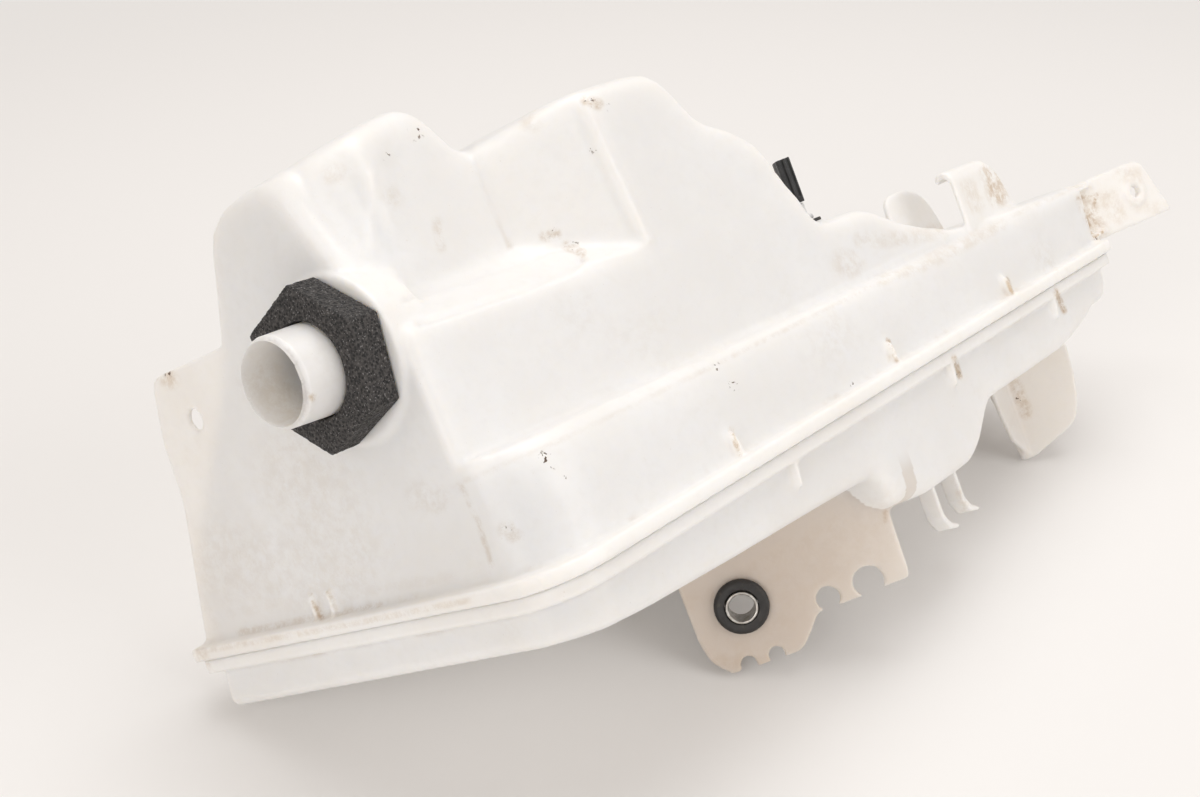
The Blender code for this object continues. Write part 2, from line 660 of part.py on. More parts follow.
# Rubber bushing, waisted over the ear, and the steel sleeve in it
half = bushing_thickness * 0.5
cheek = lower_ear_thickness * 0.5 + fit_gap
bore = sleeve_outer_r + fit_gap
face_r = bushing_r - 1.4
bushing_points = [(bore, half), (face_r, half), (bushing_r, half - 1.2), (bushing_r, cheek),
                  (bushing_waist_r, cheek), (bushing_waist_r, -cheek), (bushing_r, -cheek),
                  (bushing_r, 1.2 - half), (face_r, -half), (bore, -half)]
bushing = turned('rubber_bushing', bushing_points, parts, 32)
place(bushing, ear_frame @ at(0, bushing_level, 0))
paint(bushing, rubber_black)
sleeve_end = sleeve_length * 0.5
mouth_r = sleeve_bore_r + 0.4
sleeve_points = [(sleeve_bore_r, sleeve_end - 0.4), (mouth_r, sleeve_end), (sleeve_outer_r, sleeve_end),
                 (sleeve_outer_r, -sleeve_end), (mouth_r, -sleeve_end), (sleeve_bore_r, 0.4 - sleeve_end)]
sleeve = turned('steel_sleeve', sleeve_points, parts, 32)
place(sleeve, ear_frame @ at(0, bushing_level, 0))
paint(sleeve, steel)

# Level sensor: seal in the pad, pale stem with its collar, black plug, float and stop
seal_low = sensor_pad_level + fit_gap
seal_top = seal_low + seal_flange
seal_neck_r = seal_hole_r - fit_gap
seal_bore_r = stem_r + fit_gap
seal_points = [(seal_bore_r, seal_top), (seal_flange_r, seal_top), (seal_flange_r, seal_low),
               (seal_neck_r, seal_low), (seal_neck_r, seal_low - 9.0), (seal_bore_r, seal_low - 9.0)]
seal = turned('sensor_seal', seal_points, parts, 28)
place(seal, at(sensor_x, sensor_y, 0))
paint(seal, rubber_black)
collar_low = seal_top + fit_gap
collar_high = collar_low + stem_collar_height
stem_top = plug_base - fit_gap
stem_points = [(0.0, stem_top), (stem_r, stem_top), (stem_r, collar_high), (stem_collar_r, collar_high),
               (stem_collar_r, collar_low), (stem_r, collar_low), (stem_r, stem_bottom), (0.0, stem_bottom)]
stem = turned('sensor_stem', stem_points, parts, 28)
place(stem, at(sensor_x, sensor_y, 0))
paint(stem, grey_plastic)

plug = box('sensor_plug', (-plug_width * 0.5, -plug_depth * 0.5, plug_base),
           (plug_width * 0.5, plug_depth * 0.5, plug_base + plug_height), parts)
plug_frame = at(sensor_x, sensor_y, 0) @ Matrix.Rotation(math.radians(plug_turn), 4, 'Z')
place(plug, plug_frame)
for index, y in enumerate((-5.4, -1.8, 1.8, 5.4)):
    groove = box('plug_groove_%d' % index, (-plug_width, y - 0.7, plug_base + 2.5),
                 (-plug_width * 0.5 + 0.8, y + 0.7, plug_base + 30.0), tools)
    combine(plug, place(groove, plug_frame), 'DIFFERENCE')
for index, x in enumerate((-1.0, 1.6)):
    groove = box('plug_end_groove_%d' % index, (x - 0.6, -plug_depth, plug_base + 2.5),
                 (x + 0.6, -plug_depth * 0.5 + 0.8, plug_base + 30.0), tools)
    combine(plug, place(groove, plug_frame), 'DIFFERENCE')
socket = box('plug_socket', (-plug_width * 0.5 + 1.8, -plug_depth * 0.5 + 1.6, plug_base + 8.0),
             (plug_width * 0.5 - 1.3, plug_depth * 0.5 - 1.6, plug_base + 30.0), tools)
combine(plug, place(socket, plug_frame), 'DIFFERENCE')
paint(plug, black_plastic)

stop_low = stem_bottom + 2.0
stop_top = stop_low + stop_height
stop_points = [(seal_bore_r, stop_top), (stop_r, stop_top), (stop_r, stop_low), (seal_bore_r, stop_low)]
stop = turned('float_stop', stop_points, parts, 24)
place(stop, at(sensor_x, sensor_y, 0))
paint(stop, grey_plastic)
float_low = stop_top + fit_gap
float_high = float_low + float_height
float_bore_r = stem_r + float_gap
float_points = [(float_bore_r, float_high), (float_r - 2.0, float_high), (float_r, float_high - 2.0),
                (float_r, float_low + 2.0), (float_r - 2.0, float_low), (float_bore_r, float_low)]
ring = turned('sensor_float', float_points, parts, 28)
place(ring, at(sensor_x, sensor_y, 0))
paint(ring, float_foam)

# Rubber seal of the pump port in the far end
outer_face = wall + fit_gap
outer_lip = outer_face + port_flange
inner_lip = -fit_gap - port_flange
port_neck_r = port_hole_r - fit_gap
port_lip_r = port_flange_r - 1.2
port_points = [(port_bore_r, outer_lip), (port_flange_r - 0.8, outer_lip), (port_flange_r, outer_lip - 0.8),
               (port_flange_r, outer_face), (port_neck_r, outer_face), (port_neck_r, -fit_gap),
               (port_lip_r, -fit_gap), (port_lip_r, inner_lip), (port_bore_r, inner_lip)]
port_seal = turned('port_seal', port_points, parts, 28)
place(port_seal, at(tank_length - wall, port_y, port_level) @ ALONG_X)
paint(port_seal, rubber_black)

# Cutters stay out of sight
for tool in tools.objects:
    tool.display_type = 'WIRE'
    tool.hide_render = True

# One empty turns the tank into the pose in which it lies, and sets it on the surface
rest = bpy.data.objects.new('resting_pose', None)
rest.empty_display_size = 0.05
parts.objects.link(rest)
for obj in list(parts.objects) + list(tools.objects):
    if obj is not rest:
        obj.parent = rest
rest.rotation_euler = (math.radians(rest_turn_x), math.radians(rest_turn_y), 0.0)
bpy.context.view_layer.update()
depsgraph = bpy.context.evaluated_depsgraph_get()
low = Vector((1e9, 1e9, 1e9))
high = -low
for obj in parts.objects:
    if obj.type != 'MESH':
        continue
    solid = obj.evaluated_get(depsgraph)
    mesh = solid.to_mesh()
    for vertex in mesh.vertices:
        point = solid.matrix_world @ vertex.co
        low = Vector(map(min, low, point))
        high = Vector(map(max, high, point))
    solid.to_mesh_clear()
rest.location = (-(low.x + high.x) * 0.5, -(low.y + high.y) * 0.5, -low.z)
bpy.context.view_layer.update()
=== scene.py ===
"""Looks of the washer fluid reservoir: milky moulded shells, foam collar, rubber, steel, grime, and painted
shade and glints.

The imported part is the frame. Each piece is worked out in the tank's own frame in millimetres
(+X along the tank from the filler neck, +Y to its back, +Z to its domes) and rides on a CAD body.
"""
import math

import bmesh
import bpy
import numpy as np
from mathutils import Matrix, Vector, noise


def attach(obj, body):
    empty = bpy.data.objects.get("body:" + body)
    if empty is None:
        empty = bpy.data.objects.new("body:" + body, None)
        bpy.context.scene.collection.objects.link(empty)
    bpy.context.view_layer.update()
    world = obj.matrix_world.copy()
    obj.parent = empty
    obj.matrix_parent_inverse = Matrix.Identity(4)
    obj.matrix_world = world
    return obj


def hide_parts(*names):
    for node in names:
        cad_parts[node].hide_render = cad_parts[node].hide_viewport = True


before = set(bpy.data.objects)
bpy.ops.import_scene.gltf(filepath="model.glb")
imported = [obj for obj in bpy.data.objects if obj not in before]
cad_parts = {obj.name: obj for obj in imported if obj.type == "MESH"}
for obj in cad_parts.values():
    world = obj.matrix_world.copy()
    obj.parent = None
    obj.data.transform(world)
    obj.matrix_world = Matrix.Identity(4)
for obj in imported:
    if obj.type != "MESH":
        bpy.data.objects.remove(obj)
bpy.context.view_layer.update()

MM = 0.001

# The tank's own frame: how it lies on the table, and where the neck's axis meets the end face
REST_TURN_X = -33.0
REST_TURN_Y = 9.74
TANK_ORIGIN = (-0.22229, 0.02462, 0.17824)
TANK = Matrix.Translation(TANK_ORIGIN) @ Matrix.Rotation(math.radians(REST_TURN_Y), 4, "Y") \
    @ Matrix.Rotation(math.radians(REST_TURN_X), 4, "X")
TANK_BACK = TANK.inverted()

# The photograph: 1200 by 797 pixels
PHOTO_WIDTH = 1200.0
PHOTO_MIDDLE = (600.0, 398.0)
FOCAL_PIXELS = 1370.0
SENSOR_WIDTH = 36.0
CAMERA_PLACE = (-311.5, -365.1, -12.4)
VIEW_DIRECTION = (0.6832, 0.5030, -0.5296)
CAMERA_TURN = Vector(VIEW_DIRECTION).to_track_quat("-Z", "Y")

# Sizes that the source of the part also names, mm
TANK_LENGTH = 417.0
WELD_LEVEL = -93.6
WELD_RISE = 0.0245
NECK_LENGTH = 32.0
NECK_OUTER_R = 16.0
NECK_FOOT_R = 16.8
NECK_BORE_R = 13.4
NECK_RIM = 0.65                 # radius of the rounded rim
SEAT_FRONT = -1.7
SENSOR = (252.5, -43.1)
EAR_PLACE = (149.0, -10.0)
EAR_TURN = -55.2
EAR_HALF = 3.0

# Backdrop's colour as seen, and the distances in metres over which the floor turns into it
BACKDROP = (0.855, 0.828, 0.80, 1.0)
LIT_FLOOR = (0.7, 1.8)

# The table and the light. Each lamp: name, place, aim and size in metres, watts, colour
FLOOR_HALF = 6.0
FLOOR_DROP = 0.0002             # keeps the floor off the faces that lie on it
FLOOR_COLOUR = (0.85, 0.842, 0.835, 1.0)
WORLD_COLOUR = (1.0, 0.915, 0.84, 1.0)
WORLD_STRENGTH = 0.48
LAMPS = (
    ("softbox_above", (0.4, 0.25, 1.9), (0.0, 0.0, 0.08), (1.4, 1.3), 19.0, (1.0, 1.0, 1.0)),
    ("softbox_front", (0.3, -2.0, 1.2), (0.0, 0.0, 0.1), (1.5, 1.5), 13.5, (1.0, 1.0, 1.0)),
    ("softbox_left", (-1.7, -0.3, 0.8), (-0.1, 0.0, 0.1), (1.2, 1.2), 9.5, (1.0, 0.99, 0.975)),
)

# Voxel sizes of the fine copies, mm
SHELL_VOXEL = 1.0
FOAM_VOXEL = 0.5
RUBBER_VOXEL = 0.35
STEEL_VOXEL = 0.3
PLUG_VOXEL = 0.35
INNER_VOXEL = 0.5

# The shells' softening grows over these distances from the seam, the ends and the sensor, mm
UPPER_SEAM_FADE = (9.0, 17.0)
LOWER_SEAM_FADE = (9.0, 15.0)
NEAR_END_FADE = (3.5, 12.0)
FAR_END_FADE = (5.0, 14.0)
SENSOR_FADE = (12.0, 18.0)
LEAST_SOFT = 0.10

# Thin details that stay sharp, in tank mm: hose tab and hook, lower ear, sump hooks and fin
HOSE_X = (290.0, 382.0)
HOSE_Y = (-100.0, -50.0)
HOSE_BOTTOM = -46.0
PLATE_TOP = -121.5
LOWER_EAR_END = 181.0
SUMP_HOOKS = (225.0, -60.0, -143.0)
FIN_START = 345.0

# Painted shade on the ears and the fin, warm and dark as where they lie in shadow and light comes through
# their thin walls: its strengths and where the lower ear's ends, mm
LOWER_EAR_SHADE = 0.95
END_EAR_SHADE = 0.12
FAR_EAR_SHADE = 0.1
FIN_SHADE = 0.3
SHADE_TOP = -112.0
SHADE_END = 222.0

# Faces take relief, dirt and painted shade as they turn to the photograph's camera; relief needs softened
# walls
FACING = (0.02, 0.35)
RELIEF_ON = (0.3, 0.8)
CREVICE = (0.02, 0.10)

# Torn foam: cells per mm, how far a pore reaches from its middle, and the depths in mm
CELL_SCALE = 0.8
PORE_REACH = 0.6
PORE_DEPTH = 0.3
SWELL_SCALE = 0.5
SWELL_DEPTH = 0.2

# Moulded relief, each as a line of photo pixels, its half width in pixels and its height in mm
RELIEF = (
    (((285, 183), (281, 205), (278, 228)), 6.0, 0.9),
    (((297, 172), (300, 200), (303, 228)), 11.0, -0.8),
    (((371, 178), (370, 215), (369, 251)), 6.0, 0.7),
    (((392, 165), (398, 200), (404, 240)), 12.0, -0.5),
    (((469, 151), (488, 198), (510, 246)), 5.0, -0.8),
    (((587, 108), (603, 146), (624, 190), (646, 237)), 5.0, 0.9),
    (((574, 112), (590, 148), (610, 192), (630, 236)), 8.0, -0.5),
    (((583, 265), (612, 256), (637, 250), (651, 240)), 4.0, 0.5),
    (((405, 301), (480, 276), (555, 249), (574, 249), (583, 258)), 3.5, -0.7),
    (((583, 258), (570, 270), (523, 289), (470, 307), (417, 324)), 3.5, -0.7),
    (((455, 495), (472, 530), (492, 572)), 2.0, -0.35),
    (((452, 476), (463, 472), (480, 464)), 6.0, 0.6),
    (((480, 464), (600, 406), (760, 326), (940, 240)), 3.0, 0.35),
    (((1083, 200), (1094, 232)), 5.0, -1.3),
    (((1080, 198), (1098, 192)), 2.0, 0.9),
    (((1088, 214), (1102, 216)), 2.0, 0.9),
    (((1093, 236), (1110, 229)), 2.0, 0.9),
)

# Brown marks, dirt for the most part and painted shade at the far ear's pocket: a line of photo pixels, its
# half width in pixels and its strength
DIRT_AND_SHADE = (
    (((330, 174), (338, 172)), 9.0, 0.22),
    (((528, 121), (532, 122)), 9.0, 0.25),
    (((392, 196), (393, 198)), 10.0, 0.22),
    (((437, 222), (441, 246)), 5.0, 0.32),
    (((545, 236), (556, 234)), 5.0, 0.6),
    (((566, 244), (582, 252)), 4.0, 0.6),
    (((586, 100), (598, 104)), 5.0, 0.7),
    (((845, 262), (850, 264)), 13.0, 0.3),
    (((860, 240), (905, 238), (942, 230)), 8.0, 0.24),
    (((880, 280), (930, 262), (1000, 225)), 6.0, 0.28),
    (((507, 529), (514, 534)), 8.0, 0.4),
    (((420, 494), (436, 500)), 14.0, 0.2),
    (((462, 487), (478, 520), (492, 566)), 2.6, 0.4),
    (((452, 486), (560, 440), (700, 372)), 2.5, 0.14),
    (((700, 372), (820, 312), (940, 249), (1076, 186)), 2.5, 0.2),
    (((731, 430), (740, 454)), 2.2, 1.0),
    (((888, 340), (897, 360)), 2.2, 1.0),
    (((1007, 278), (1012, 292)), 2.2, 0.9),
    (((954, 357), (960, 376)), 2.4, 1.0),
    (((1056, 291), (1064, 310)), 3.0, 1.0),
    (((311, 596), (322, 618)), 3.0, 0.85),
    (((328, 592), (337, 612)), 2.6, 0.5),
    (((240, 632), (292, 622), (380, 604)), 3.5, 0.4),
    (((232, 612), (330, 597), (452, 576)), 6.0, 0.12),
    (((200, 650), (206, 676)), 6.0, 0.45),
    (((194, 652), (330, 628), (470, 600)), 3.0, 0.3),
    (((162, 372), (170, 380)), 8.0, 0.5),
    (((164, 462), (168, 480), (176, 496)), 4.0, 0.55),
    # two broad faint brown clouds that darken and warm the near end face
    (((300, 470), (340, 560)), 45.0, 0.17),
    (((230, 560), (330, 575)), 40.0, 0.17),
    (((990, 172), (998, 196)), 9.0, 0.8),
    (((968, 186), (976, 204)), 8.0, 0.3),
    # painted shade: this patch and the two dark outlines after it stand in for the far ear's recessed pocket
    # and the edges of its webs; the patch is partly a real stain
    (((1086, 200), (1100, 228)), 9.0, 0.45),
    (((1078, 198), (1097, 194), (1091, 214), (1084, 210)), 1.8, 0.9),
    (((1088, 214), (1104, 231), (1094, 236), (1086, 216)), 1.8, 1.0),
    (((1108, 198), (1116, 214)), 10.0, 0.3),
    (((1122, 172), (1136, 176)), 8.0, 0.25),
    (((1136, 205), (1160, 208)), 6.0, 0.2),
    (((1016, 385), (1026, 412)), 6.0, 0.55),
    (((956, 482), (966, 512)), 4.0, 0.3),
    (((886, 512), (886, 520)), 3.0, 0.6),
    (((312, 396), (313, 398)), 3.0, 0.9),
    (((262, 378), (278, 392), (290, 410)), 22.0, 0.22),
    (((740, 640), (820, 560), (890, 520)), 30.0, 0.12),
    (((706, 660), (770, 662)), 8.0, 0.25),
    (((600, 640), (720, 590), (840, 520)), 8.0, 0.15),
)

# Dark specks lie within these circles: photo pixel and radius
SPECKS = (
    (590, 102, 6), (574, 246, 6), (553, 232, 5), (416, 132, 8), (387, 155, 4), (545, 457, 8), (550, 468, 4),
    (567, 477, 4), (508, 530, 5), (716, 368, 6), (733, 384, 6), (593, 148, 4), (606, 106, 4), (168, 374, 4),
    (1018, 398, 5), (957, 372, 4), (1096, 236, 4), (853, 385, 3),
)


def point(x, y, z):
    """A place in the tank's frame, mm, as a world position in metres."""
    return TANK @ (Vector((x, y, z)) * MM)


def to_tank(world):
    """World positions (n, 3) in metres as tank positions in mm."""
    turn = np.array(TANK_BACK.to_3x3())
    move = np.array(TANK_BACK.translation)
    return (world @ turn.T + move) * 1000.0


def to_world(tank):
    """Tank positions (n, 3) in mm as world positions in metres."""
    turn = np.array(TANK.to_3x3())
    move = np.array(TANK.translation)
    return (tank * MM) @ turn.T + move


def photo_place(world):
    """Where world positions (n, 3) fall in the photograph, in pixels."""
    axes = np.array(CAMERA_TURN.to_matrix())
    seen = (world - np.array(point(*CAMERA_PLACE))) @ axes
    u = PHOTO_MIDDLE[0] + FOCAL_PIXELS * seen[:, 0] / -seen[:, 2]
    v = PHOTO_MIDDLE[1] - FOCAL_PIXELS * seen[:, 1] / -seen[:, 2]
    return np.stack([u, v], axis=1)


def fade(values, start, end):
    """0 at start and 1 at end, with a soft run between them."""
    t = np.clip((values - start) / (end - start), 0.0, 1.0)
    return t * t * (3.0 - 2.0 * t)


def from_line(uv, line):
    """Distance of each place (n, 2) from a broken line."""
    best = np.full(len(uv), 1e9)
    for a, b in zip(line, line[1:]):
        a, run = np.array(a, float), np.subtract(b, a).astype(float)
        along = np.clip((uv - a) @ run / max(run @ run, 1e-9), 0.0, 1.0)
        best = np.minimum(best, np.hypot(*(uv - a - along[:, None] * run).T))
    return best


# Camera, floor and light
def build_camera():
    data = bpy.data.cameras.new("photo_camera")
    camera = bpy.data.objects.new("photo_camera", data)
    bpy.context.scene.collection.objects.link(camera)
    camera.location = point(*CAMERA_PLACE)
    camera.rotation_euler = CAMERA_TURN.to_euler()
    data.sensor_width = SENSOR_WIDTH
    data.lens = FOCAL_PIXELS * SENSOR_WIDTH / PHOTO_WIDTH
    data.clip_start = 0.01
    bpy.context.scene.camera = camera


def seen_rays(tree):
    """1 for camera, glossy and transmission rays, which show the backdrop, and 0 for the rays that light."""
    rays = tree.nodes.new("ShaderNodeLightPath")
    seen = rays.outputs["Is Camera Ray"]
    for name in ("Is Glossy Ray", "Is Transmission Ray"):
        node = tree.nodes.new("ShaderNodeMath")
        node.operation = "MAXIMUM"
        tree.links.new(seen, node.inputs[0])
        tree.links.new(rays.outputs[name], node.inputs[1])
        seen = node.outputs["Value"]
    return seen


def even_out(tree, shader):
    """Beyond the lamps' reach the floor shows the backdrop's colour, so that it has no edge."""
    place = tree.nodes.new("ShaderNodeTexCoord")
    length = tree.nodes.new("ShaderNodeVectorMath")
    length.operation = "LENGTH"
    tree.links.new(place.outputs["Object"], length.inputs[0])
    far = tree.nodes.new("ShaderNodeMapRange")
    far.interpolation_type = "SMOOTHSTEP"
    far.inputs["From Min"].default_value, far.inputs["From Max"].default_value = LIT_FLOOR
    tree.links.new(length.outputs["Value"], far.inputs["Value"])
    amount = tree.nodes.new("ShaderNodeMath")
    amount.operation = "MULTIPLY"
    tree.links.new(far.outputs["Result"], amount.inputs[0])
    tree.links.new(seen_rays(tree), amount.inputs[1])
    glow = tree.nodes.new("ShaderNodeEmission")
    glow.inputs["Color"].default_value = BACKDROP
    mix = tree.nodes.new("ShaderNodeMixShader")
    tree.links.new(amount.outputs["Value"], mix.inputs[0])
    tree.links.new(shader.outputs[0], mix.inputs[1])
    tree.links.new(glow.outputs[0], mix.inputs[2])
    tree.links.new(mix.outputs[0], tree.nodes["Material Output"].inputs["Surface"])


def build_floor():
    bm = bmesh.new()
    bmesh.ops.create_grid(bm, x_segments=1, y_segments=1, size=FLOOR_HALF)
    mesh = bpy.data.meshes.new("floor")
    bm.to_mesh(mesh)
    bm.free()
    floor = bpy.data.objects.new("floor", mesh)
    bpy.context.scene.collection.objects.link(floor)
    floor.location = (0.0, 0.0, -FLOOR_DROP)
    mat = bpy.data.materials.new("pale_table")
    mat.use_nodes = True
    shader = mat.node_tree.nodes["Principled BSDF"]
    shader.inputs["Base Color"].default_value = FLOOR_COLOUR
    shader.inputs["Roughness"].default_value = 0.7
    shader.inputs["Specular IOR Level"].default_value = 0.1
    even_out(mat.node_tree, shader)
    floor.data.materials.append(mat)


def area_light(name, place, target, size, watts, colour):
    data = bpy.data.lights.new(name, "AREA")
    data.shape = "RECTANGLE"
    data.size, data.size_y = size
    data.energy = watts
    data.color = colour
    lamp = bpy.data.objects.new(name, data)
    bpy.context.scene.collection.objects.link(lamp)
    lamp.location = place
    direction = Vector(target) - Vector(place)
    lamp.rotation_euler = direction.to_track_quat("-Z", "Y").to_euler()


def build_light():
    world = bpy.data.worlds.new("studio")
    bpy.context.scene.world = world
    world.use_nodes = True
    background = world.node_tree.nodes["Background"]
    background.inputs["Color"].default_value = WORLD_COLOUR
    background.inputs["Strength"].default_value = WORLD_STRENGTH
    backdrop = world.node_tree.nodes.new("ShaderNodeBackground")
    backdrop.inputs["Color"].default_value = BACKDROP
    mix = world.node_tree.nodes.new("ShaderNodeMixShader")
    world.node_tree.links.new(seen_rays(world.node_tree), mix.inputs[0])
    world.node_tree.links.new(background.outputs[0], mix.inputs[1])
    world.node_tree.links.new(backdrop.outputs[0], mix.inputs[2])
    world.node_tree.links.new(mix.outputs[0], world.node_tree.nodes["World Output"].inputs["Surface"])
    for lamp in LAMPS:
        area_light(*lamp)
    bpy.context.scene.view_settings.view_transform = "Standard"


# Mesh helpers
def new_piece(name, mesh):
    piece = bpy.data.objects.new(name, mesh)
    bpy.context.scene.collection.objects.link(piece)
    return piece


def points_of(mesh):
    flat = np.empty(len(mesh.vertices) * 3)
    mesh.vertices.foreach_get("co", flat)
    return flat.reshape(-1, 3)


def normals_of(mesh):
    flat = np.empty(len(mesh.vertices) * 3)
    mesh.vertex_normals.foreach_get("vector", flat)
    return flat.reshape(-1, 3)


def set_points(mesh, points):
    mesh.vertices.foreach_set("co", points.reshape(-1))
    mesh.update()


def edges_of(mesh):
    flat = np.empty(len(mesh.edges) * 2, dtype=np.int64)
    mesh.edges.foreach_get("vertices", flat)
    return flat.reshape(-1, 2)


def neighbour_middle(points, edges):
    """The middle of each point's neighbours."""
    count = len(points)
    a, b = edges[:, 0], edges[:, 1]
    degree = np.maximum(np.bincount(a, minlength=count) + np.bincount(b, minlength=count), 1)
    middle = np.empty_like(points)
    for axis in range(3):
        values = points[:, axis]
        total = np.bincount(a, values[b], count) + np.bincount(b, values[a], count)
        middle[:, axis] = total / degree
    return middle


def relax(points, edges, weight, rounds):
    """Moves each point towards the middle of its neighbours, by its own weight, round after round."""
    for _ in range(rounds):
        points = points + np.reshape(weight, (-1, 1)) * (neighbour_middle(points, edges) - points)
    return points


def remeshed(name, node, voxel):
    """A fine even copy of a CAD node's solid, gridded along the tank's walls and its weld, in tank mm."""
    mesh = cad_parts[node].data.copy()
    tank = to_tank(points_of(mesh))
    tank[:, 2] -= WELD_RISE * tank[:, 0]
    set_points(mesh, tank)
    source = new_piece(name + "_source", mesh)
    remesh = source.modifiers.new("remesh", "REMESH")
    remesh.mode = "VOXEL"
    remesh.voxel_size = voxel
    depsgraph = bpy.context.evaluated_depsgraph_get()
    fine = bpy.data.meshes.new_from_object(source.evaluated_get(depsgraph))
    fine.name = name
    bpy.data.objects.remove(source)
    fine.materials.clear()
    tank = points_of(fine)
    tank[:, 2] += WELD_RISE * tank[:, 0]
    return fine, tank


def store(mesh, name, values):
    layer = mesh.attributes.new(name, "FLOAT", "POINT")
    layer.data.foreach_set("value", np.ascontiguousarray(values, dtype=np.float32))


def settle(name, mesh, node, body, mat):
    mesh.shade_smooth()
    mesh.materials.append(mat)
    piece = new_piece(name, mesh)
    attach(piece, body)
    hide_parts(node)
    return piece


# Materials
class Paint:
    """A Principled material and short ways to add its nodes."""

    def __init__(self, name, roughness, colour):
        self.mat = bpy.data.materials.new(name)
        self.mat.use_nodes = True
        self.tree = self.mat.node_tree
        self.shader = self.tree.nodes["Principled BSDF"]
        self.shader.inputs["Base Color"].default_value = (*colour, 1.0)
        self.shader.inputs["Roughness"].default_value = roughness
        self.place = self.tree.nodes.new("ShaderNodeTexCoord").outputs["Object"]

    def link(self, source, target):
        if isinstance(source, (int, float)):
            target.default_value = source
        else:
            self.tree.links.new(source, target)

    def noise(self, size_mm, detail=4.0, roughness=0.55):
        """Noise whose features are about size_mm wide."""
        node = self.tree.nodes.new("ShaderNodeTexNoise")
        node.inputs["Scale"].default_value = 1000.0 / size_mm
        node.inputs["Detail"].default_value = detail
        node.inputs["Roughness"].default_value = roughness
        self.tree.links.new(self.place, node.inputs["Vector"])
        return node.outputs["Fac"]

    def cells(self, size_mm):
        """Distance to the nearest of points about size_mm apart."""
        node = self.tree.nodes.new("ShaderNodeTexVoronoi")
        node.inputs["Scale"].default_value = 1000.0 / size_mm
        self.tree.links.new(self.place, node.inputs["Vector"])
        return node.outputs["Distance"]

    def layer(self, name):
        node = self.tree.nodes.new("ShaderNodeAttribute")
        node.attribute_name = name
        return node.outputs["Fac"]

    def between(self, value, low, high, start=0.0, end=1.0):
        """value run from low..high onto start..end, clipped and soft."""
        node = self.tree.nodes.new("ShaderNodeMapRange")
        node.interpolation_type = "SMOOTHSTEP"
        self.tree.links.new(value, node.inputs["Value"])
        node.inputs["From Min"].default_value = low
        node.inputs["From Max"].default_value = high
        node.inputs["To Min"].default_value = start
        node.inputs["To Max"].default_value = end
        return node.outputs["Result"]

    def math(self, kind, a, b):
        node = self.tree.nodes.new("ShaderNodeMath")
        node.operation = kind
        self.link(a, node.inputs[0])
        self.link(b, node.inputs[1])
        return node.outputs["Value"]

    def mix(self, amount, first, second):
        """Colour from first to second; each is a colour or a socket."""
        node = self.tree.nodes.new("ShaderNodeMix")
        node.data_type = "RGBA"
        self.link(amount, node.inputs[0])
        for value, target in ((first, node.inputs[6]), (second, node.inputs[7])):
            if isinstance(value, tuple):
                target.default_value = (*value, 1.0)
            else:
                self.tree.links.new(value, target)
        return node.outputs[2]

    def colour(self, socket):
        self.tree.links.new(socket, self.shader.inputs["Base Color"])

    def rough(self, socket):
        self.tree.links.new(socket, self.shader.inputs["Roughness"])

    def bump(self, height, distance_mm, strength=1.0, under=None):
        node = self.tree.nodes.new("ShaderNodeBump")
        node.inputs["Distance"].default_value = distance_mm * MM
        node.inputs["Strength"].default_value = strength
        self.tree.links.new(height, node.inputs["Height"])
        if under is not None:
            self.tree.links.new(under, node.inputs["Normal"])
        self.tree.links.new(node.outputs["Normal"], self.shader.inputs["Normal"])
        return node.outputs["Normal"]


def milky_material():
    """Milky plastic: cloudy and a little translucent, with brown grime in its marked places and crevices, and
    painted shade on the thin ears, the fin and the far ear's pocket.
    """
    paint = Paint("milky_plastic", 0.38, (0.86, 0.86, 0.83))
    base = paint.mix(paint.between(paint.noise(55.0, 5.0), 0.35, 0.68),
                     (0.885, 0.87, 0.85), (0.85, 0.828, 0.80))
    base = paint.mix(paint.between(paint.noise(4.0, 3.0), 0.45, 0.75, 0.0, 0.35), base, (0.83, 0.81, 0.78))
    # painted shade on the ears and the fin: a warm dark brown, as in shadow with light coming through their
    # thin walls
    base = paint.mix(paint.layer("thin"), base, (0.58, 0.51, 0.45))
    patches = paint.math("MULTIPLY", paint.layer("dirt_and_shade"),
                         paint.between(paint.noise(7.0, 10.0, 0.8), 0.38, 0.62))
    crevices = paint.math("MULTIPLY", paint.layer("crevice"),
                          paint.between(paint.noise(26.0, 6.0, 0.65), 0.48, 0.72))
    clouds = paint.math("MULTIPLY", paint.between(paint.noise(75.0, 3.0), 0.55, 0.75, 0.0, 0.16),
                        paint.between(paint.noise(5.0, 8.0, 0.75), 0.42, 0.62))
    brown = paint.math("MAXIMUM", paint.math("MAXIMUM", patches, clouds),
                       paint.math("MULTIPLY", crevices, 0.5))
    base = paint.mix(paint.math("MULTIPLY", brown, 0.8), base, (0.40, 0.26, 0.13))
    dust = paint.math("MULTIPLY", paint.between(paint.noise(1.1, 2.0), 0.735, 0.77), 0.25)
    base = paint.mix(dust, base, (0.55, 0.46, 0.37))
    grains = paint.math("MULTIPLY", paint.layer("speck"), paint.between(paint.noise(2.1, 2.0), 0.60, 0.66))
    base = paint.mix(grains, base, (0.10, 0.055, 0.03))
    paint.colour(base)
    rough = paint.math("ADD", paint.between(paint.noise(14.0, 5.0), 0.3, 0.7, 0.30, 0.46),
                       paint.math("MULTIPLY", brown, 0.3))
    paint.rough(rough)
    waves = paint.bump(paint.noise(16.0, 3.0), 0.5, 0.35)
    paint.bump(paint.noise(0.9, 3.0), 0.06, 0.5, waves)
    paint.shader.inputs["Subsurface Weight"].default_value = 0.6
    paint.shader.inputs["Subsurface Scale"].default_value = 0.008
    paint.shader.inputs["Subsurface Radius"].default_value = (1.0, 0.9, 0.75)
    return paint.mat


